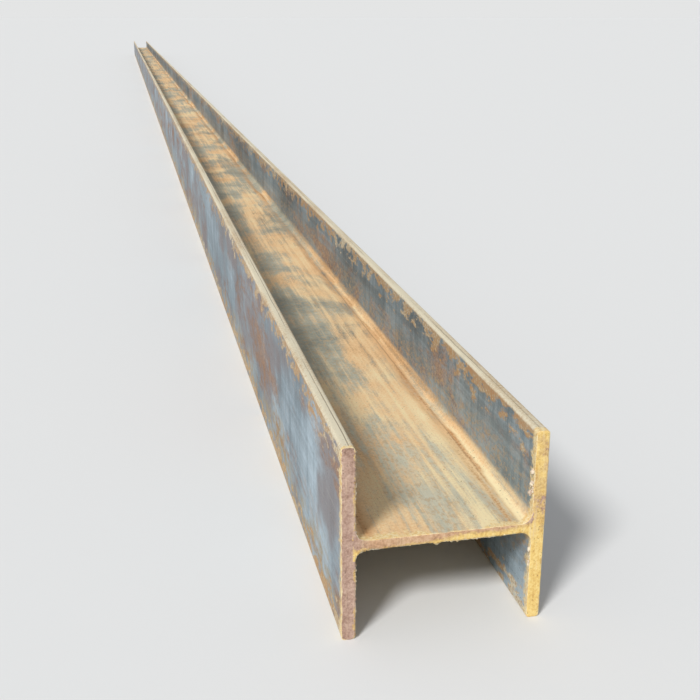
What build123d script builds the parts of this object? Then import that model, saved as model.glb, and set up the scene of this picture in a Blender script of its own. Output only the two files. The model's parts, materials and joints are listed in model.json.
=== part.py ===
"""Steel H-beam, hot rolled as one piece, in a stock length.

Millimetres, +Z up. It lies as such beams are stacked: web level, flanges upright, on the lower flange
tips. The length runs along Y, the section's depth along X and the width of the flanges along Z.
The origin is at floor level, under the middle of the beam.
"""

from build123d import *
import os

# Rolled section
section_depth = 150.0  # over the outer faces of the two flanges
flange_width = 150.0  # from flange tip to flange tip
web_thickness = 7.0
flange_thickness = 10.0
root_radius = 8.0  # where the web runs into the flanges
tip_radius = 2.5  # the rolls leave the corners of the flange tips round
largest_tip_share = 0.45  # of the flange's thickness, because a tip has two rounded corners

# Stock length, with both ends cut square
beam_length = 12000.0

# Sizes that follow
flange_middle = (section_depth - flange_thickness) / 2
web_height = flange_width / 2
tip_round = min(tip_radius, largest_tip_share * flange_thickness)

# The section is drawn at the far end, on a plane that faces the near end.
with BuildPart() as h_beam:
    with BuildSketch(Plane.XZ.offset(-beam_length / 2)) as section:
        with Locations((0, web_height)):
            Rectangle(2 * flange_middle, web_thickness)
        with Locations((-flange_middle, web_height), (flange_middle, web_height)):
            Rectangle(flange_thickness, flange_width)
        roots = section.vertices().sort_by_distance((0, web_height))[:4]
        fillet(roots, root_radius)
        levels = section.vertices().group_by(Axis.Y)
        fillet(levels[0] + levels[-1], tip_round)
    extrude(amount=beam_length)

h_beam.part.label = "h_beam"

os.makedirs("parts", exist_ok=True)
export_step(h_beam.part, "parts/h_beam.step")
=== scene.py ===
"""Steel H-beam, seen at one of its two cut ends: rusty, as rolled, lying on its flange tips.

Metres, +Z up, in the frame of the solid model: the length runs along Y and the near end is at -Y.
The steel is one mesh. It follows the rolled section, and close to each end it is fine enough for
the torn edges of the cut. Beads of slag sit on the burred edges.
"""

import json
import math
import random

import bmesh
import bpy
import numpy as np
from mathutils import Matrix, Vector, geometry, noise


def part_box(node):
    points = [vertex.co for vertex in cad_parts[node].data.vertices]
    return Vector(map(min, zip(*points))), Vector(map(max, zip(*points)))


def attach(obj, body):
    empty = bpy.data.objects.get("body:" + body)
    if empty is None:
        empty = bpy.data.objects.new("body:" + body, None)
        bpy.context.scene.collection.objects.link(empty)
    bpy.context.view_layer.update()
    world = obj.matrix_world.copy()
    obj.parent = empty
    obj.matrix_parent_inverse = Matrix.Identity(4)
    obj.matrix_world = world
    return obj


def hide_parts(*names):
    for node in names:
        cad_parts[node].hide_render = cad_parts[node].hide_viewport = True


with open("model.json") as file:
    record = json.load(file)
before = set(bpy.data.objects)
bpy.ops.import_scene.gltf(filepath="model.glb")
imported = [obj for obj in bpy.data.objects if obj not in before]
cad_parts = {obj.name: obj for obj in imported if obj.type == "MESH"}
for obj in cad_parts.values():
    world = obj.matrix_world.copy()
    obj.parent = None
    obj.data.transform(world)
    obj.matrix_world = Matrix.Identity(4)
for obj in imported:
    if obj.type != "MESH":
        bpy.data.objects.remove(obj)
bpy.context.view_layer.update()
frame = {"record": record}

MM = 0.001

# Sizes from the frame: the beam's highest corner, and where its mounts are
half_depth, half_length, flange_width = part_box("h_beam")[1]
mounts = {mount["name"]: mount["pos_m"] for mount in frame["record"]["mounts"]}
web_top = mounts["web_upper_face"][2]
web_bottom = mounts["web_lower_face"][2]
web_middle = (web_top + web_bottom) / 2
web_half = (web_top - web_bottom) / 2
inner_face = 2 * mounts["right_foot"][0] - half_depth

# Radii of the rolled section, which the frame doesn't state
root_radius = 8 * MM
tip_radius = 2.5 * MM

# Mesh: distances in mm of the rings of points round the section from the end that they are near
FINE_RINGS = [0.0, 0.7, 0.8, 1.4, 2.2, 3.2, 4.6, 6.5, 9.0, 12.0]
COARSE_RINGS = [16, 24, 36, 54, 80, 120, 170, 230, 300, 400]
RING_STEP = 0.1  # between the rings along the rest of the beam
COARSE_RUN = 12 * MM  # longest straight piece of a coarse ring
FINE_RUN = 0.55 * MM  # longest piece of a fine ring
ROOT_STEPS, TIP_STEPS = 10, 5  # pieces of the arcs at roots and tips
CAP_STEP = 1.0 * MM  # between the points of an end face
CAP_JITTER = 0.25  # most that such a point is moved, as a share of the step
CAP_INSET = 0.45 * MM  # from the outline of an end face to the nearest of its points
SAME_POINT = 1e-7  # distance up to which two points of an end face count as one
INSIDE = 1  # how an end face is filled: within its outline only

# Relief
WAVE_DEPTH = 0.12 * MM  # rolled faces, always inwards
EDGE_ROUND = 0.35 * MM  # where the cut enters the steel, and has no burr
EDGE_BACK = 0.6  # how far the same edge lies back, as a share of its round
LOW_TOOTH, TALL_TOOTH = (0.2, 0.8), (0.9, 1.7)  # heights in mm of the burr's teeth
LOW_SHARE = 0.75  # of the teeth
TOOTH_WIDTH, TOOTH_STEP = (0.6, 1.5), (0.7, 2.6)  # in mm
BURR_BASE, BURR_BASE_UNDER_WEB = 0.15 * MM, 0.45 * MM  # added to the teeth
SIDE_SHARE = 0.8  # of the burr at a flange, against that under the web
SMOOTH_TIP = 3 * MM  # of each flange, with no burr
NIB_PLACE, NIB_WIDTH, NIB_DROP = -6 * MM, 3.0 * MM, 2.4 * MM  # torn piece under the web

# Shares that are left at the first rings from the cut, and none at the others
BURR_REACH = [1.0, 0.8, 0.52, 0.24, 0.07]
ROUND_REACH = [1.0, 0.25]
# The pale edge of a cut is burr where there is one, and a painted highlight all along the edge elsewhere
BURR_AND_HIGHLIGHT_REACH = [1.0, 0.8, 0.45, 0.15]
EDGE_HIGHLIGHT_LEAST = 0.45  # how much of an edge is marked where it has no burr

# Map: the long faces fill it up to here, and the end faces lie above
MAP_SIDE = 0.945
MAP_MM = 1.62 / 1024  # one mm of an end face
MAP_AT = [0.0, 0.06, 0.3, 1.2, half_length]  # distances from an end
MAP_PLACE = [0.003, 0.085, 0.2, 0.32, 0.5]  # where they lie on the map
CAP_NEAR, CAP_FAR = 0.004, 0.504  # where the strips of the two end faces start
CAP_ROW, ROW_GAP = 0.9765, 0.0115  # height of the web's strip, and from it to a flange's strip
WEB_STRIP, FLANGE_STRIP = 68, 76  # mm from the middle of a strip to its start
FLANGES_START = 0.232  # from the start of an end face's strips to those of its flanges

# Noise seeds of the two ends, by the sign of their Y
END_SEEDS = {-1: 1, 1: 2}

# The golden part of a cut. On the web it lies below a border, given by mm to the right of the middle
# and its height there in halves of the web's thickness. On the right flange it is given by shares
# of the flange's height and how golden the cut is there.
WEB_BORDER = [-62, -40, -8, 2, 30, 60], [-0.95, -0.75, -0.6, 0.1, 0.35, 0.8]
FLANGE_GOLD = [0, 0.42, 0.55, 0.8, 1], [1.3, 1.1, 0.3, 0.12, 0.4]
WEB_AND_ROOTS = 3.4  # how far up and down the web's part of a cut goes, in the same halves

# Rows of slag: side of the channel, lowest and highest in mm, how many, largest in mm
SLAG_ROWS = [(1, 100, 126, 9, 2.0), (-1, 94, 143, 13, 1.6), (-1, 20, 60, 10, 1.5), (1, 34, 58, 5, 1.6)]
BEAD_LEAST = 0.4  # smallest bead, as a share of its row's largest
BEAD_POWER = 1.3  # the higher, the more of the beads are small
BEAD_OUT = 0.3  # from the steel to a bead's middle, in its radii
BEAD_BACK, BEAD_GAP = (1.2, 2.4), 0.3 * MM  # from the cut to a bead's middle: in its radii, and more
BEAD_PARTS, PART_SIZE = 3, (0.4, 0.65)  # smaller lumps that run into a bead, in its radii
PART_REACH = (0.35, 0.6, 1.0)  # how far those lie from its middle along X, Y and Z, in its radii

# Material slots of the steel
ROLLED, CUT = 0, 1


def section_corners():
    """The H's corners, anticlockwise as seen from the near end, each with its radius."""
    right = [
        (inner_face, 0.0, tip_radius),
        (half_depth, 0.0, tip_radius),
        (half_depth, flange_width, tip_radius),
        (inner_face, flange_width, tip_radius),
        (inner_face, web_top, root_radius),
    ]
    left = [
        (-inner_face, web_top, root_radius),
        (-inner_face, flange_width, tip_radius),
        (-half_depth, flange_width, tip_radius),
        (-half_depth, 0.0, tip_radius),
        (-inner_face, 0.0, tip_radius),
        (-inner_face, web_bottom, root_radius),
    ]
    return [*right, *left, (inner_face, web_bottom, root_radius)]


def rounded_outline(corners):
    """Points of the outline, with arcs at its corners."""
    points = []
    for index, (x, z, radius) in enumerate(corners):
        corner = np.array([x, z])
        back = np.array(corners[index - 1][:2]) - corner
        ahead = np.array(corners[(index + 1) % len(corners)][:2]) - corner
        back /= np.linalg.norm(back)
        ahead /= np.linalg.norm(ahead)
        centre = corner + radius * (back + ahead)
        steps = ROOT_STEPS if radius == root_radius else TIP_STEPS
        for turn in np.linspace(0, math.pi / 2, steps + 1):
            points.append(centre - radius * (math.cos(turn) * ahead + math.sin(turn) * back))
    return np.array(points)


def divided(points, longest):
    """A closed line with no piece longer than longest, and how many pieces each old one became."""
    ring, parts = [], []
    for index, point in enumerate(points):
        run = points[(index + 1) % len(points)] - point
        count = max(1, math.ceil(np.linalg.norm(run) / longest - 1e-6))
        ring += [point + run * part / count for part in range(count)]
        parts.append(count)
    return np.array(ring), parts


def outward(ring):
    """Unit normals of a closed anticlockwise line."""
    along = np.roll(ring, -1, axis=0) - np.roll(ring, 1, axis=0)
    along /= np.linalg.norm(along, axis=1)[:, None]
    return np.column_stack([along[:, 1], -along[:, 0]])


def travelled(ring):
    """Distance along a closed line to each of its points, and once round."""
    steps = np.linalg.norm(np.roll(ring, -1, axis=0) - ring, axis=1)
    return np.concatenate([[0.0], np.cumsum(steps)])


def wave(x, y, z):
    """How far the rolled face lies inside the nominal one."""
    slow = noise.noise(Vector((x * 14, y * 1.3, z * 14)))
    quick = noise.noise(Vector((x * 60 + 7, y * 12, z * 60)))
    return WAVE_DEPTH * (0.5 + 0.35 * slow + 0.15 * quick)


def ripple(x, z, fineness, seed):
    """Noise over an end, either way of 0. It changes about fineness times in a metre."""
    return noise.noise(Vector((x * fineness, z * fineness, seed)))


def end_relief(x, z, seed):
    """How far a point of the cut face lies behind the nominal end."""
    slow, grain = ripple(x, z, 22, seed), ripple(x, z, 900, seed + 5)
    upright_lines = noise.noise(Vector((x * 620, z * 25, seed + 3)))
    return (0.3 + 0.22 * slow + 0.05 * upright_lines + 0.06 * grain) * MM


def burr_heights(ring, normals, distance, seed):
    """How far the torn edge stands out at each point of the end's outline."""
    dice = random.Random(seed)
    heights = np.zeros(len(ring))
    place = 0.0
    while place < distance[-1]:
        tall = dice.uniform(*LOW_TOOTH) if dice.random() < LOW_SHARE else dice.uniform(*TALL_TOOTH)
        wide = dice.uniform(*TOOTH_WIDTH) * MM
        tooth = tall * MM * np.clip(1 - np.abs(distance[:-1] - place) / wide, 0, 1)
        heights = np.maximum(heights, tooth)
        place += dice.uniform(*TOOTH_STEP) * MM
    x, z = ring[:, 0], ring[:, 1]
    clear_of_tips = (z > SMOOTH_TIP) & (z < flange_width - SMOOTH_TIP)
    in_channel = (np.abs(x) < inner_face + 0.1 * MM) & clear_of_tips
    below = np.clip(-normals[:, 1], 0, 1)
    beside = np.clip(normals[:, 0], 0, 1) * SIDE_SHARE
    slow = np.array([ripple(px, pz, 45, seed + 11) for px, pz in ring])
    under_web = (normals[:, 1] < -0.9) & (z > web_bottom - 1 * MM)
    heights += np.where(under_web, BURR_BASE_UNDER_WEB, BURR_BASE)
    heights *= np.clip(below + beside, 0, 1) * np.clip(0.85 + 1.2 * slow, 0.2, 1.5)
    nib = NIB_DROP * np.clip(1 - np.abs(x - NIB_PLACE) / NIB_WIDTH, 0, 1) ** 0.7
    heights = np.maximum(heights, nib * under_web)
    return heights * in_channel


def in_section(x, z, inset):
    """True if a point is in the section, at least inset from its outline."""
    across, up = abs(x), abs(z - web_middle)
    if across > inner_face - inset:
        corner = across > half_depth - tip_radius or across < inner_face + tip_radius
        top = flange_width / 2 - (tip_radius if corner else 0)
        if inner_face + inset < across < half_depth - inset and up < top - inset:
            return True
    if across > inner_face + inset:
        return False
    if up < web_half - inset:
        return True
    centre = (inner_face - root_radius, web_half + root_radius)
    if across < centre[0] or up > centre[1]:
        return False
    return math.hypot(across - centre[0], up - centre[1]) > root_radius + inset


def cap_points():
    """Points spread over an end face, clear of its outline."""
    dice = random.Random(5)
    points = []
    for x in np.arange(-half_depth, half_depth, CAP_STEP):
        for z in np.arange(0, flange_width, CAP_STEP):
            px = x + dice.uniform(-CAP_JITTER, CAP_JITTER) * CAP_STEP
            pz = z + dice.uniform(-CAP_JITTER, CAP_JITTER) * CAP_STEP
            if in_section(px, pz, CAP_INSET):
                points.append((px, pz))
    return points


def map_along(y):
    """Where a place along the beam lies on the map. The ends get most of it."""
    place = float(np.interp(half_length - abs(y), MAP_AT, MAP_PLACE))
    return place if y < 0 else 1 - place


def map_cap(x, z, part, sign):
    """Where a point of an end face lies on the map: three strips for each end."""
    left = CAP_NEAR if sign < 0 else CAP_FAR
    up, side = (z - web_middle) / MM, x / MM
    if part == 0:
        return left + (side + WEB_STRIP) * MAP_MM, CAP_ROW + up * MAP_MM
    middle = (half_depth + inner_face) / 2 / MM
    row = CAP_ROW + (ROW_GAP + (abs(side) - middle) * MAP_MM) * part
    return left + FLANGES_START + (up + FLANGE_STRIP) * MAP_MM, row


class Mesh:
    """Points and faces as they are gathered."""

    def __init__(self):
        self.points = []
        # For each point, how pale the cut's edge is painted there: burr, and a painted highlight along the
        # edge
        self.burr_and_highlight = []  # for each point, 1 on the edge of a cut and 0 away from it
        self.faces = []
        self.maps = []  # for each face, where its corners lie on the map
        self.slots = []  # for each face, its material

    def add_ring(self, ring, ys, burr_and_highlight):
        """A ring of points. Gives their numbers."""
        first = len(self.points)
        self.points += [(x, y, z) for (x, z), y in zip(ring, ys)]
        self.burr_and_highlight += list(np.broadcast_to(burr_and_highlight, len(ring)))
        return list(range(first, len(self.points)))

    def add_face(self, corners, heights):
        """A face of the long sides, given how far round the section its corners lie."""
        self.faces.append(tuple(corners))
        self.maps.append([(map_along(self.points[k][1]), h * MAP_SIDE) for k, h in zip(corners, heights)])
        self.slots.append(ROLLED)


def share_left(shares, number):
    """What a list of shares gives for a ring, and none past its end."""
    return shares[number] if number < len(shares) else 0.0


def build_steel():
    """The whole beam as one closed mesh."""
    coarse, _ = divided(rounded_outline(section_corners()), COARSE_RUN)
    fine, parts = divided(coarse, FINE_RUN)
    starts = np.concatenate([[0], np.cumsum(parts)])
    coarse_normals, fine_normals = outward(coarse), outward(fine)
    coarse_run, fine_run = travelled(coarse), travelled(fine)
    coarse_share, fine_share = coarse_run / coarse_run[-1], fine_run / fine_run[-1]
    mesh = Mesh()

    def settled(ring, normals, y, extra):
        """The ring at y, drawn in by the face's wave and moved out by extra."""
        depth = np.array([wave(x, y, z) for x, z in ring])
        return ring + normals * (extra - depth)[:, None]

    def end_rings(sign):
        """Fine rings of one end, from the cut inwards."""
        seed = END_SEEDS[sign]
        burr = burr_heights(fine, fine_normals, fine_run, seed)
        uneven = np.array([ripple(x, z, 210, seed + 17) for x, z in fine])
        soft = np.where(burr > 0, 0.0, EDGE_ROUND * np.clip(1 + 2.2 * uneven, 0.2, 2.4))
        found = []
        for number, distance in enumerate(FINE_RINGS):
            if number == 0:
                back = np.array([end_relief(x, z, seed) for x, z in fine]) + EDGE_BACK * soft
            else:
                back = np.full(len(fine), distance * MM)
            extra = burr * share_left(BURR_REACH, number) - soft * share_left(ROUND_REACH, number)
            # Painted highlight along every edge of the cut, paler still where there is burr
            burr_and_highlight = np.clip(EDGE_HIGHLIGHT_LEAST + burr / MM, 0, 1) * share_left(BURR_AND_HIGHLIGHT_REACH, number)
            ring = settled(fine, fine_normals, sign * half_length, extra)
            found.append(mesh.add_ring(ring, sign * (half_length - back), burr_and_highlight))
        return found

    def skin(first, second, share):
        """Quads between two rings of as many points, the second further along +Y."""
        for i in range(len(first)):
            j = (i + 1) % len(first)
            here, there = share[i], share[i + 1]
            mesh.add_face((first[i], second[i], second[j], first[j]), (here, here, there, there))

    def join(fine_ring, coarse_ring, fine_first):
        """Faces between a fine ring and a coarse one."""
        for i in range(len(coarse_ring)):
            here = (coarse_ring[i], coarse_share[i])
            there = (coarse_ring[(i + 1) % len(coarse_ring)], coarse_share[i + 1])
            between = range(starts[i], starts[i + 1] + 1)
            spots = [(fine_ring[k % len(fine_ring)], fine_share[k]) for k in between]
            middle = (len(spots) - 1) // 2
            fans = [(spots[k], spots[k + 1], here if k < middle else there) for k in range(len(spots) - 1)]
            fans.append((spots[middle], there, here))
            for fan in fans:
                mesh.add_face(*zip(*(fan[::-1] if fine_first else fan)))

    def cap(ring, sign):
        """The cut face, with its relief."""
        outline = [Vector((mesh.points[k][0], mesh.points[k][2])) for k in ring]
        flat = outline + [Vector(point) for point in cap_points()]
        loop = [(k, (k + 1) % len(ring)) for k in range(len(ring))]
        places, _, faces, origins, *_ = geometry.delaunay_2d_cdt(flat, loop, [], INSIDE, SAME_POINT)
        numbers = []
        for place, origin in zip(places, origins):
            known = [k for k in origin if k < len(ring)]
            if known:
                numbers.append(ring[known[0]])
                continue
            numbers.append(len(mesh.points))
            back = end_relief(place.x, place.y, END_SEEDS[sign])
            mesh.points.append((place.x, sign * (half_length - back), place.y))
            mesh.burr_and_highlight.append(0.0)
        for face in faces:
            across = sum(places[k].x for k in face) / len(face)
            part = 0 if abs(across) < inner_face else math.copysign(1, across)
            corners = face if sign < 0 else face[::-1]
            mesh.faces.append(tuple(numbers[k] for k in corners))
            mesh.maps.append([map_cap(places[k].x, places[k].y, part, sign) for k in corners])
            mesh.slots.append(CUT)

    near, far = end_rings(-1), end_rings(1)
    close = [distance * MM for distance in COARSE_RINGS]
    count = round(2 * (half_length - close[-1]) / RING_STEP)
    middle = np.linspace(close[-1] - half_length, half_length - close[-1], count + 1)[1:-1]
    stations = [*[d - half_length for d in close], *middle, *[half_length - d for d in close[::-1]]]
    body = [
        mesh.add_ring(settled(coarse, coarse_normals, y, 0.0), np.full(len(coarse), y), 0.0)
        for y in stations
    ]
    for first, second in zip(near, near[1:]):
        skin(first, second, fine_share)
    join(near[-1], body[0], True)
    for first, second in zip(body, body[1:]):
        skin(first, second, coarse_share)
    join(far[-1], body[-1], False)
    for first, second in zip(far[:0:-1], far[-2::-1]):
        skin(first, second, fine_share)
    cap(near[0], -1)
    cap(far[0], 1)
    return mesh


def put_float(data, name, values):
    """Keeps a number for each point of a mesh, for the materials."""
    layer = data.attributes.new(name, "FLOAT", "POINT")
    layer.data.foreach_set("value", [float(value) for value in values])


def ochre_zone(x, y, z):
    """Above 0 where the cut has turned golden, below where it stays brown."""
    sign = -1 if y < 0 else 1
    side, seed = -sign * x, END_SEEDS[sign]
    ragged = ripple(x, z, 130, seed) + 0.5 * ripple(x, z, 420, seed)
    patch = ripple(x, z, 38, seed + 20)
    up = (z - web_middle) / web_half
    if abs(x) < inner_face + 1 * MM and abs(up) < WEB_AND_ROOTS:
        border = np.interp(side / MM, *WEB_BORDER)
        return border - up + 0.45 * ragged + 0.5 * patch
    if side > 0:
        golden = np.interp(z / flange_width, *FLANGE_GOLD)
        return golden + 0.5 * ragged + 0.8 * patch
    # brown but for a rim along the channel
    rim = (inner_face + 1.6 * MM - abs(x)) / (3 * MM)
    return min(0.5, rim) - 0.35 + 0.6 * ragged + 0.9 * patch


def placed(name, data):
    """A new object, in the scene."""
    made = bpy.data.objects.new(name, data)
    bpy.context.collection.objects.link(made)
    return made


def make_steel(materials):
    """The beam with its two finishes, in place of the plain one."""
    mesh = build_steel()
    data = bpy.data.meshes.new("rolled_beam")
    data.from_pydata(mesh.points, [], mesh.faces)
    for material in materials:
        data.materials.append(material)
    data.polygons.foreach_set("material_index", mesh.slots)
    put_float(data, "burr_and_edge_highlight", mesh.burr_and_highlight)
    near_cut = [abs(point[1]) > half_length - 2 * MM for point in mesh.points]
    put_float(data, "ochre", [ochre_zone(*p) if near else 0.0 for p, near in zip(mesh.points, near_cut)])
    places = data.uv_layers.new(name="OFBake")
    places.data.foreach_set("uv", [number for face in mesh.maps for pair in face for number in pair])
    data.shade_smooth()
    steel = placed("rolled_beam", data)
    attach(steel, "root")
    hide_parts("h_beam")


def lump(mesh, centre, size, seed):
    """A molten bead: a ball pushed about by noise. size is its three half lengths."""
    made = bmesh.ops.create_icosphere(mesh, subdivisions=2, radius=1.0)["verts"]
    for vert in made:
        swell = 1 + 0.55 * noise.noise(vert.co * 1.5 + Vector((seed, 0, 0)))
        swell += 0.25 * noise.noise(vert.co * 3.4 + Vector((0, seed, 0)))
        vert.co = Vector(centre) + Vector([s * c for s, c in zip(size, vert.co * swell)])


def clot(mesh, centre, radius, dice):
    """A bead with smaller ones run into it."""
    lump(mesh, centre, (0.8 * radius, radius * dice.uniform(0.9, 1.2), radius), dice.random() * 50)
    for _ in range(BEAD_PARTS):
        small = radius * dice.uniform(*PART_SIZE)
        shift = [dice.uniform(-1, 1) * radius * reach for reach in PART_REACH]
        lump(mesh, [c + s for c, s in zip(centre, shift)], (small, small, small), dice.random() * 50)


def make_slag(name, sign, seed, material):
    """Beads of slag along the channel side of one cut."""
    dice = random.Random(seed)
    mesh = bmesh.new()
    turn = -sign  # the far end's slag lies like the near end's, turned half round
    for side, lowest, highest, count, largest in SLAG_ROWS:
        for _ in range(count):
            radius = dice.uniform(BEAD_LEAST, 1) ** BEAD_POWER * largest * MM
            z = dice.uniform(lowest, highest) * MM
            x = side * turn * (inner_face - BEAD_OUT * radius)
            y = sign * (half_length - radius * dice.uniform(*BEAD_BACK) - BEAD_GAP)
            clot(mesh, (x, y, z), radius, dice)
    for vert in mesh.verts:
        vert.co.y = sign * min(sign * vert.co.y, half_length)
    data = bpy.data.meshes.new(name)
    mesh.to_mesh(data)
    mesh.free()
    data.materials.append(material)
    data.shade_smooth()
    slag = placed(name, data)
    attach(slag, "root")


def srgb(red, green, blue):
    """A colour as it looks on a screen, from 0 to 255, as the shaders want it."""
    shares = [value / 255 for value in (red, green, blue)]
    return (*[s / 12.92 if s < 0.04 else ((s + 0.055) / 1.055) ** 2.4 for s in shares], 1.0)


class Look:
    """A material whose nodes are made and joined by short calls."""

    def __init__(self, name):
        self.material = bpy.data.materials.new(name)
        self.material.use_nodes = True
        self.tree = self.material.node_tree
        self.surface = self.tree.nodes["Principled BSDF"]
        self.spot = self.add("TexCoord").outputs["Object"]

    def add(self, kind, **settings):
        node = self.tree.nodes.new("ShaderNode" + kind)
        for name, value in settings.items():
            setattr(node, name, value)
        return node

    def feed(self, socket, value):
        """Joins or sets an input."""
        if isinstance(value, bpy.types.NodeSocket):
            self.tree.links.new(value, socket)
        else:
            socket.default_value = value

    def split(self):
        """The place on the object as x, y and z."""
        node = self.add("SeparateXYZ")
        self.feed(node.inputs[0], self.spot)
        return node.outputs

    def math(self, operation, *values):
        node = self.add("Math", operation=operation)
        for socket, value in zip(node.inputs, values):
            self.feed(socket, value)
        return node.outputs[0]

    def chain(self, operation, values):
        """The operation on the first two values, then on its result and the next, and so on."""
        found = values[0]
        for value in values[1:]:
            found = self.math(operation, found, value)
        return found

    def total(self, *values):
        return self.chain("ADD", values)

    def times(self, *values):
        return self.chain("MULTIPLY", values)

    def most(self, *values):
        return self.chain("MAXIMUM", values)

    def less(self, value, other):
        return self.math("SUBTRACT", value, other)

    def size(self, value):
        """A value without its sign."""
        return self.math("ABSOLUTE", value)

    def off(self, value, place):
        """How far a value is from a place, on either side."""
        return self.size(self.less(value, place))

    def sway(self, value, reach):
        """A noise that goes either way from 0, times reach."""
        return self.times(self.less(value, 0.5), reach)

    def blend_of(self, *parts):
        """Values added up, each times its weight."""
        return self.total(*[self.times(value, weight) for value, weight in parts])

    def rise(self, value, start, end):
        """0 up to start, 1 from end on, smooth between. The other way round if start is the higher."""
        node = self.add("MapRange", interpolation_type="SMOOTHSTEP")
        self.feed(node.inputs["Value"], value)
        self.feed(node.inputs["From Min"], start)
        self.feed(node.inputs["From Max"], end)
        return node.outputs[0]

    def stretched(self, x, y, z, turn=(0, 0, 0)):
        """The place on the object, turned and scaled."""
        node = self.add("Mapping")
        self.feed(node.inputs["Vector"], self.spot)
        node.inputs["Rotation"].default_value = [math.radians(angle) for angle in turn]
        node.inputs["Scale"].default_value = (x, y, z)
        return node.outputs[0]

    def noise(self, spot, scale, detail, roughness=0.55, distortion=0.0):
        node = self.add("TexNoise")
        self.feed(node.inputs["Vector"], spot)
        node.inputs["Scale"].default_value = scale
        node.inputs["Detail"].default_value = detail
        node.inputs["Roughness"].default_value = roughness
        node.inputs["Distortion"].default_value = distortion
        return node.outputs[0]

    def specks(self, scale):
        """1 in small ragged spots, 0 between them."""
        return self.rise(self.noise(self.spot, scale, 1.5, 0.6), 0.68, 0.71)

    def mix(self, share, first, second):
        node = self.add("Mix", data_type="RGBA")
        self.feed(node.inputs[0], share)
        self.feed(node.inputs[6], first)
        self.feed(node.inputs[7], second)
        return node.outputs[2]

    def cover(self, colour, other, *shares):
        """A colour with another over it, as thick as all the shares multiplied."""
        return self.mix(self.times(*shares), colour, other)

    def ramp(self, value, *stops):
        node = self.add("ValToRGB")
        self.feed(node.inputs[0], value)
        elements = node.color_ramp.elements
        while len(elements) < len(stops):
            elements.new(0.5)
        for element, (place, colour) in zip(elements, stops):
            element.position = place
            element.color = colour
        return node.outputs[0]

    def kept(self, name):
        """A number kept on the mesh."""
        return self.add("Attribute", attribute_name=name).outputs["Fac"]

    def bump(self, height, distance, strength):
        node = self.add("Bump")
        self.feed(node.inputs["Height"], height)
        node.inputs["Distance"].default_value = distance
        node.inputs["Strength"].default_value = strength
        return node.outputs[0]

    def finish(self, colour, roughness, normal, metallic=0.0):
        self.feed(self.surface.inputs["Base Color"], colour)
        self.feed(self.surface.inputs["Roughness"], roughness)
        self.feed(self.surface.inputs["Normal"], normal)
        self.feed(self.surface.inputs["Metallic"], metallic)
        return self.material


# Colours
SCALE_DARK, SCALE_MID, SCALE_LIGHT = srgb(74, 84, 90), srgb(122, 139, 149), srgb(174, 191, 201)
SAGE_DARK, SAGE_LIGHT = srgb(134, 137, 124), srgb(202, 196, 170)
DUST_DARK, DUST_PEACH, DUST_PALE = srgb(188, 146, 98), srgb(232, 191, 140), srgb(240, 222, 176)
RUST_BROWN, RUST_ORANGE = srgb(104, 74, 50), srgb(184, 132, 80)
TIP_BROWN, TIP_PALE, TIP_LINE = srgb(178, 148, 108), srgb(216, 206, 180), srgb(104, 88, 68)
PURPLE_BROWN, OLIVE, SPECKLE = srgb(116, 98, 94), srgb(156, 138, 96), srgb(186, 160, 124)
BLOOM, BLOOM_PALE = srgb(222, 184, 116), srgb(236, 218, 170)
MAUVE, MAUVE_DARK, MAUVE_LIGHT = srgb(174, 141, 124), srgb(124, 94, 76), srgb(206, 176, 156)
PEACH, PEACH_DARK, PEACH_LIGHT = srgb(196, 154, 118), srgb(150, 112, 84), srgb(222, 188, 152)
OCHRE, OCHRE_DEEP, OCHRE_LIGHT = srgb(232, 196, 116), srgb(204, 158, 86), srgb(246, 220, 150)
OCHRE_DULL, UMBER = srgb(218, 184, 126), srgb(178, 140, 94)
# The first pale colour here is that of burr and slag, and of the painted highlight along the cut's edges
PALE_BURR_SLAG_AND_HIGHLIGHT, SLAG_PALE, SLAG_BROWN = srgb(234, 220, 192), srgb(214, 194, 172), srgb(158, 116, 88)
FLECK_DARK, DRAG_PALE = srgb(66, 52, 42), srgb(224, 196, 158)


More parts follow.
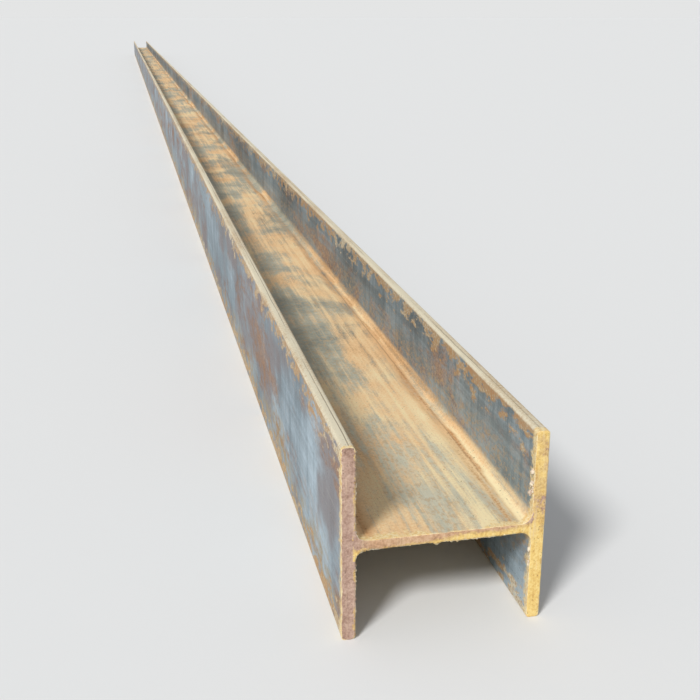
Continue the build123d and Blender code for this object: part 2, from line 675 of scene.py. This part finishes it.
def rolled_look():
    """Mill scale with rust and dust: blue-grey, going tan and orange at tips, roots and ends."""
    look = Look("rolled_steel")
    x, y, z = look.split()
    across = look.size(x)
    up = look.off(z, web_middle)
    from_tip = look.less(flange_width / 2, up)
    on_web = look.less(inner_face, across)
    from_end = look.less(half_length, look.size(y))
    web = look.times(look.rise(up, web_half + 11 * MM, web_half + 4 * MM), look.rise(on_web, -1 * MM, 0))
    upper = look.rise(z, web_middle - 1 * MM, web_middle + 1 * MM)
    outside = look.rise(across, half_depth - 3 * MM, half_depth - 1 * MM)
    inside = look.less(1.0, outside)

    cloud = look.noise(look.spot, 7, 5, 0.6)
    haze = look.noise(look.stretched(1, 0.6, 1, (35, 0, 0)), 11, 4, 0.6)
    patch = look.noise(look.stretched(1, 0.21, 1), 16, 8, 0.68, 0.5)
    streak = look.noise(look.stretched(1, 0.02, 1), 170, 4, 0.65)
    wash = look.noise(look.stretched(1, 1, 0.06), 85, 4, 0.7)
    grain = look.noise(look.spot, 420, 4, 0.75)
    fleck = look.noise(look.stretched(1, 0.42, 1, (-32, 0, 0)), 105, 5, 0.62, 0.2)

    # mill scale, sage where dust dulls it on the web
    near_cut = look.rise(from_end, 0.4, 0.02)
    tone = look.blend_of((cloud, 0.42), (streak, 0.2), (wash, 0.22), (grain, 0.16), (near_cut, 0.06))
    scale = look.ramp(tone, (0.38, SCALE_DARK), (0.5, SCALE_MID), (0.62, SCALE_LIGHT))
    sage = look.ramp(look.blend_of((tone, 1.0), (near_cut, 0.06)), (0.4, SAGE_DARK), (0.6, SAGE_LIGHT))
    colour = look.cover(scale, sage, web, 0.88)

    # haze of purple-brown and olive on the outer faces
    colour = look.cover(colour, PURPLE_BROWN, look.rise(haze, 0.44, 0.6), outside, 0.72)
    low_down = look.rise(look.total(look.times(cloud, -0.16), z), -0.03, -0.07)
    colour = look.cover(colour, OLIVE, low_down, outside, look.rise(fleck, 0.36, 0.6), 0.85)

    # rust in long soft patches on the flanges
    flange_rust = look.rise(look.blend_of((patch, 1.0), (wash, 0.3), (fleck, 0.3)), 0.8, 0.98)
    rust_colour = look.ramp(grain, (0.36, RUST_BROWN), (0.62, RUST_ORANGE))
    colour = look.cover(colour, rust_colour, flange_rust, 0.7)

    # beige speckles on the inner faces, thicker towards the root
    speckle = look.rise(look.noise(look.stretched(1, 0.5, 1, (-20, 0, 0)), 300, 3, 0.7), 0.48, 0.62)
    deeper = look.rise(look.blend_of((up, 1.0), (patch, -60 * MM)), 20 * MM, -8 * MM)
    colour = look.cover(colour, SPECKLE, speckle, deeper, inside, 0.7)

    # dust on the web, from peach to pale, thinner below, and rubbed off in the middle next to the cut
    close = look.rise(from_end, 0.16, 0.01)
    side = look.times(look.math("SIGN", y), look.times(x, -1.0))
    ragged = look.sway(look.blend_of((patch, 0.6), (streak, 0.4)), 90 * MM)
    off_middle = look.total(look.off(side, 10 * MM), ragged)
    bare = look.times(look.rise(off_middle, 34 * MM, 6 * MM), look.rise(from_end, 0.2, 0.05))
    settled = look.blend_of(
        (patch, 1.0), (cloud, 0.5), (streak, 0.4), (grain, 0.2), (close, 0.11), (bare, -0.13)
    )
    dust = look.times(look.rise(settled, 0.95, 1.14), web, look.total(look.times(upper, 0.35), 0.6))
    paler = look.times(side, look.rise(from_end, 0.3, 0.03))
    fillet = look.rise(up, web_half + 0.3 * MM, web_half + 3 * MM)
    dust_tone = look.blend_of(
        (grain, 0.35), (streak, 0.25), (haze, 0.4), (close, 0.03), (paler, 1.1), (fillet, -0.08)
    )
    dust_colour = look.ramp(dust_tone, (0.38, DUST_DARK), (0.49, DUST_PEACH), (0.62, DUST_PALE))
    colour = look.cover(colour, dust_colour, dust)

    # broken orange streak along the root, and a thin dark line where the fillet starts
    line_at = look.total(on_web, look.sway(patch, 30 * MM))
    line = look.times(look.rise(line_at, 5 * MM, 9 * MM), look.rise(line_at, 20 * MM, 10 * MM))
    broken = look.rise(look.blend_of((grain, 0.4), (streak, 0.4), (haze, 0.2)), 0.42, 0.6)
    colour = look.cover(colour, RUST_ORANGE, line, web, broken)
    crease_at = look.off(look.total(on_web, look.sway(cloud, 5 * MM)), 8.5 * MM)
    crease = look.times(look.rise(crease_at, 1.2 * MM, 0.2 * MM), look.rise(patch, 0.42, 0.6))
    colour = look.cover(colour, RUST_BROWN, crease, web, 0.4)

    # pale rust along the tips, breaking up into slanting flecks further in
    band = look.rise(look.total(fleck, look.times(look.less(13 * MM, from_tip), 8.5)), 0.475, 0.55)
    band_tone = look.blend_of((grain, 0.6), (haze, 0.4))
    band_colour = look.ramp(band_tone, (0.38, RUST_ORANGE), (0.5, TIP_BROWN), (0.6, TIP_PALE))
    colour = look.cover(colour, band_colour, band, 0.9)
    tip = look.rise(from_tip, 3 * MM, 1.4 * MM)
    tip_tone = look.blend_of((grain, 0.4), (streak, 0.35), (cloud, 0.25))
    tip_colour = look.ramp(tip_tone, (0.38, TIP_BROWN), (0.52, TIP_PALE))
    seam_at = look.off(look.total(across, look.sway(cloud, 4 * MM)), inner_face + 4.2 * MM)
    seam = look.times(look.rise(seam_at, 0.6 * MM, 0.2 * MM), look.rise(patch, 0.4, 0.58))
    tip_colour = look.cover(tip_colour, TIP_LINE, seam, 0.7)
    colour = look.cover(colour, tip_colour, tip)

    # bright bloom next to the cut
    bloom_reach = look.sway(look.noise(look.spot, 120, 5, 0.75), 30 * MM)
    thinner = look.times(bare, upper, 6 * MM)
    bloom = look.rise(look.less(look.total(from_end, thinner), bloom_reach), 9 * MM, 4 * MM)
    bloom_colour = look.mix(look.rise(grain, 0.38, 0.6), BLOOM, BLOOM_PALE)
    colour = look.cover(colour, bloom_colour, bloom, 0.85)

    # dark specks, a few scratches, and the pale edge of the cut: burr, and a painted highlight along the
    # edge
    dots = look.times(look.specks(420), look.rise(haze, 0.46, 0.58))
    colour = look.cover(colour, FLECK_DARK, dots, 0.6)
    lengthwise = look.noise(look.stretched(1, 0.001, 1, (0.5, 0, 0.3)), 130, 0.0, 0.5)
    scratched = look.rise(look.noise(look.stretched(1, 0.1, 1), 38, 2), 0.58, 0.66)
    scratch = look.times(look.rise(look.off(lengthwise, 0.5), 0.014, 0.004), scratched)
    colour = look.cover(colour, TIP_PALE, scratch, 0.35)
    colour = look.cover(colour, PALE_BURR_SLAG_AND_HIGHLIGHT, look.rise(look.kept("burr_and_edge_highlight"), 0.3, 0.9))

    rusty = look.most(dust, band, flange_rust, bloom)
    dulled = look.most(rusty, look.times(web, 0.75))
    rough = look.total(look.times(dulled, 0.34), look.times(streak, 0.3), 0.34)
    height = look.blend_of((grain, 1.0), (rusty, 0.6), (dots, -0.8), (scratch, -0.5))
    metal = look.times(look.less(1.0, dulled), 0.3)
    return look.finish(colour, rough, look.bump(height, 0.25 * MM, 0.8), metal)


def cut_look():
    """The cut ends: brown and golden rust, with fine lines from the blade."""
    look = Look("cut_steel")
    grain = look.noise(look.spot, 520, 4, 0.75)
    mottle = look.noise(look.spot, 130, 4, 0.65)
    slow = look.noise(look.spot, 26, 3)
    drag = look.noise(look.stretched(1, 1, 0.05), 420, 3, 0.6)

    # mauve-brown, going to peach on the web
    brown_tone = look.blend_of((mottle, 0.35), (grain, 0.35), (slow, 0.3))
    brown = look.ramp(brown_tone, (0.36, MAUVE_DARK), (0.48, MAUVE), (0.62, MAUVE_LIGHT))
    peach = look.ramp(brown_tone, (0.36, PEACH_DARK), (0.48, PEACH), (0.62, PEACH_LIGHT))
    across = look.size(look.split()[0])
    brown = look.cover(brown, peach, look.rise(across, inner_face + 2 * MM, inner_face - 14 * MM))

    # gold, duller towards the brown
    golden_tone = look.blend_of((mottle, 0.4), (grain, 0.35), (drag, 0.25))
    golden = look.ramp(golden_tone, (0.36, OCHRE_DEEP), (0.47, OCHRE), (0.62, OCHRE_LIGHT))
    ochre = look.kept("ochre")
    dull = look.rise(look.blend_of((ochre, 1.0), (slow, -1.0)), 0.3, -0.4)
    dull_colour = look.ramp(grain, (0.38, UMBER), (0.58, OCHRE_DULL))
    golden = look.cover(golden, dull_colour, dull, 0.85)
    ragged = look.sway(look.noise(look.spot, 240, 5, 0.75), 2.2)
    colour = look.cover(brown, golden, look.rise(look.total(ochre, ragged), -0.12, 0.14))

    # dark specks, pale lines of the blade, and the pale edge: burr, and a painted highlight along the edge
    dots = look.specks(700)
    colour = look.cover(colour, FLECK_DARK, dots, 0.45)
    colour = look.cover(colour, DRAG_PALE, look.rise(drag, 0.54, 0.68), 0.4)
    pale_burr_and_highlight = look.rise(look.kept("burr_and_edge_highlight"), 0.35, 0.95)
    colour = look.cover(colour, PALE_BURR_SLAG_AND_HIGHLIGHT, pale_burr_and_highlight, look.rise(mottle, 0.36, 0.56))

    height = look.blend_of((grain, 1.0), (drag, 0.7), (dots, -0.7))
    rough = look.total(look.times(grain, 0.25), 0.68)
    return look.finish(colour, rough, look.bump(height, 0.3 * MM, 0.9))


def slag_look():
    """Grey-white slag with brown in its hollows."""
    look = Look("slag")
    grain = look.noise(look.spot, 700, 4, 0.7)
    mottle = look.noise(look.spot, 210, 3, 0.6)
    tone = look.blend_of((grain, 0.4), (mottle, 0.6))
    colour = look.ramp(tone, (0.37, SLAG_BROWN), (0.46, SLAG_PALE), (0.56, PALE_BURR_SLAG_AND_HIGHLIGHT))
    rough = look.total(look.times(grain, 0.4), 0.4)
    return look.finish(colour, rough, look.bump(grain, 0.25 * MM, 0.8))


# The studio: what it is lit by, and its floor
FLOOR_SIZE, FLOOR_COLOUR = 900, (0.78, 0.78, 0.77, 1)
LAMP_STRENGTH, LAMP_SPREAD = 2.85, math.radians(14)
LAMP_TILT, LAMP_TURN = math.radians(49), math.radians(-42)
SKY_COLOUR, SKY_STRENGTH = (0.93, 0.96, 1.0, 1), 0.42
SKY_SEEN = (0.776, 0.783, 0.783, 1)  # by the camera and in reflections, instead


def make_studio():
    """A pale floor, one soft lamp from the front left, and an even sky."""
    bpy.ops.mesh.primitive_plane_add(size=FLOOR_SIZE, location=(0, 0, 0))
    floor = bpy.context.object
    floor.name = "floor"
    material = bpy.data.materials.new("floor")
    material.use_nodes = True
    surface = material.node_tree.nodes["Principled BSDF"]
    surface.inputs["Base Color"].default_value = FLOOR_COLOUR
    surface.inputs["Roughness"].default_value = 0.95
    surface.inputs["Specular IOR Level"].default_value = 0.1
    floor.data.materials.append(material)

    lamp = bpy.data.lights.new("key", "SUN")
    lamp.energy = LAMP_STRENGTH
    lamp.angle = LAMP_SPREAD
    placed("key", lamp).rotation_euler = (LAMP_TILT, 0, LAMP_TURN)

    world = bpy.data.worlds.new("studio")
    world.use_nodes = True
    nodes, links = world.node_tree.nodes, world.node_tree.links
    sky = nodes["Background"]
    sky.inputs["Color"].default_value = SKY_COLOUR
    sky.inputs["Strength"].default_value = SKY_STRENGTH
    seen = nodes.new("ShaderNodeBackground")
    seen.inputs["Color"].default_value = SKY_SEEN
    rays = nodes.new("ShaderNodeLightPath")
    either = nodes.new("ShaderNodeMath")
    either.operation = "MAXIMUM"
    links.new(rays.outputs["Is Camera Ray"], either.inputs[0])
    links.new(rays.outputs["Is Glossy Ray"], either.inputs[1])
    blend = nodes.new("ShaderNodeMixShader")
    links.new(either.outputs[0], blend.inputs[0])
    links.new(sky.outputs[0], blend.inputs[1])
    links.new(seen.outputs[0], blend.inputs[2])
    links.new(blend.outputs[0], nodes["World Output"].inputs["Surface"])
    bpy.context.scene.world = world
    bpy.context.scene.view_settings.view_transform = "Standard"


# The photograph's camera: where it stands, how it is turned, and its focal length in pixels
PHOTO_PLACE = Vector((-0.20, -half_length - 0.61, 0.425))
PHOTO_YAW, PHOTO_PITCH = math.radians(9.3), math.radians(-9.6)
PHOTO_FOCUS = 590.0
PHOTO_MIDDLE = 350  # pixels from its left and its top

# The camera here: the spot of the photograph that it is turned to, its lens in mm, and the
# nearest and farthest that it sees
AIM_RIGHT, AIM_DOWN = 378, 440
LENS = 52
NEAREST_SEEN, FARTHEST_SEEN = 0.05, 2000


def make_camera():
    """The photograph's viewpoint, turned so that the beam fills the frame."""
    camera = bpy.data.cameras.new("camera")
    camera.lens = LENS
    camera.clip_start = NEAREST_SEEN
    camera.clip_end = FARTHEST_SEEN
    holder = placed("camera", camera)
    holder.location = PHOTO_PLACE
    turned = Matrix.Rotation(-PHOTO_YAW, 3, "Z") @ Matrix.Rotation(math.pi / 2 + PHOTO_PITCH, 3, "X")
    aim = Vector(((AIM_RIGHT - PHOTO_MIDDLE) / PHOTO_FOCUS, (PHOTO_MIDDLE - AIM_DOWN) / PHOTO_FOCUS, -1))
    holder.rotation_euler = (turned @ aim).to_track_quat("-Z", "Y").to_euler()
    bpy.context.scene.camera = holder


make_studio()
make_camera()
make_steel([rolled_look(), cut_look()])
slag = slag_look()
make_slag("near_slag", -1, 7, slag)
make_slag("far_slag", 1, 8, slag)
